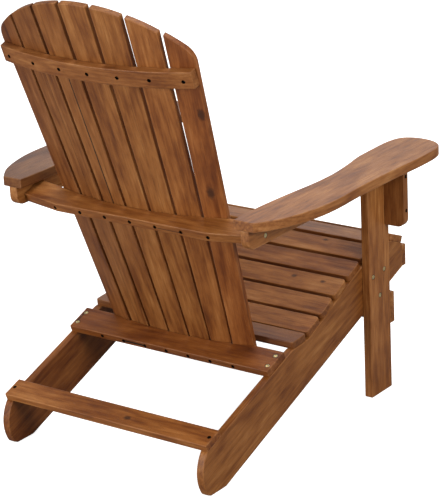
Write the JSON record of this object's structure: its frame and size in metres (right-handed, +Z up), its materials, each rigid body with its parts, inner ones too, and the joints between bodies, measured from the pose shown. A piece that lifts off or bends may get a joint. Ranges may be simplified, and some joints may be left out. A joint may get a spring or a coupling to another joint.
{
  "type": "adirondack chair",
  "caption": "Fixed wooden adirondack chair with a fanned, leaning slat back, a contoured slat seat, wide paddle arms and sloping side boards that end in rear feet.",
  "frame": {"origin": "on the floor, in the middle of the chair's footprint", "axes": "+X to the sitter's left, -Y to the chair's front, +Z up"},
  "size_m": [0.752, 0.754, 0.9566],
  "materials": {
    "oiled_wood": "satin",
    "dark_wood": "satin",
    "zinc_steel": "satin",
    "dark_steel": "matte",
    "dowel_wood": "matte"
  },
  "bodies": {
    "root": {"back_slat_1": "oiled_wood", "back_slat_2": "oiled_wood", "back_slat_3": "oiled_wood", "back_slat_4": "oiled_wood", "back_slat_5": "oiled_wood", "back_slat_6": "oiled_wood", "back_slat_7": "oiled_wood", "seat_slat_1": "oiled_wood", "seat_slat_2": "oiled_wood", "seat_slat_3": "oiled_wood", "seat_slat_4": "oiled_wood", "seat_slat_5": "oiled_wood", "seat_slat_6": "oiled_wood", "seat_slat_7": "oiled_wood", "seat_slat_8": "oiled_wood", "top_back_rail": "oiled_wood", "mid_back_rail": "oiled_wood", "lower_back_rail": "dark_wood", "rear_cross_rail": "dark_wood", "stringer_left": "dark_wood", "stringer_right": "dark_wood", "front_leg_left": "oiled_wood", "front_leg_right": "oiled_wood", "arm_left": "oiled_wood", "arm_right": "oiled_wood", "arm_bracket_left": "dark_wood", "arm_bracket_right": "dark_wood", "arm_cleat_left": "dark_wood", "arm_cleat_right": "dark_wood", "front_apron": "dark_wood", "front_stretcher": "oiled_wood", "leg_bolts": "zinc_steel", "cleat_bolts": "zinc_steel", "lower_rail_screws": "zinc_steel", "cross_rail_screws": "dark_steel", "bracket_screws": "dark_steel", "front_board_screws": "dark_steel", "lower_slat_screws": "dark_steel", "mid_slat_screws": "dark_steel", "top_slat_screws": "dark_steel", "seat_dowels": "dowel_wood", "arm_dowels": "dowel_wood"}
  },
  "joints": []
}
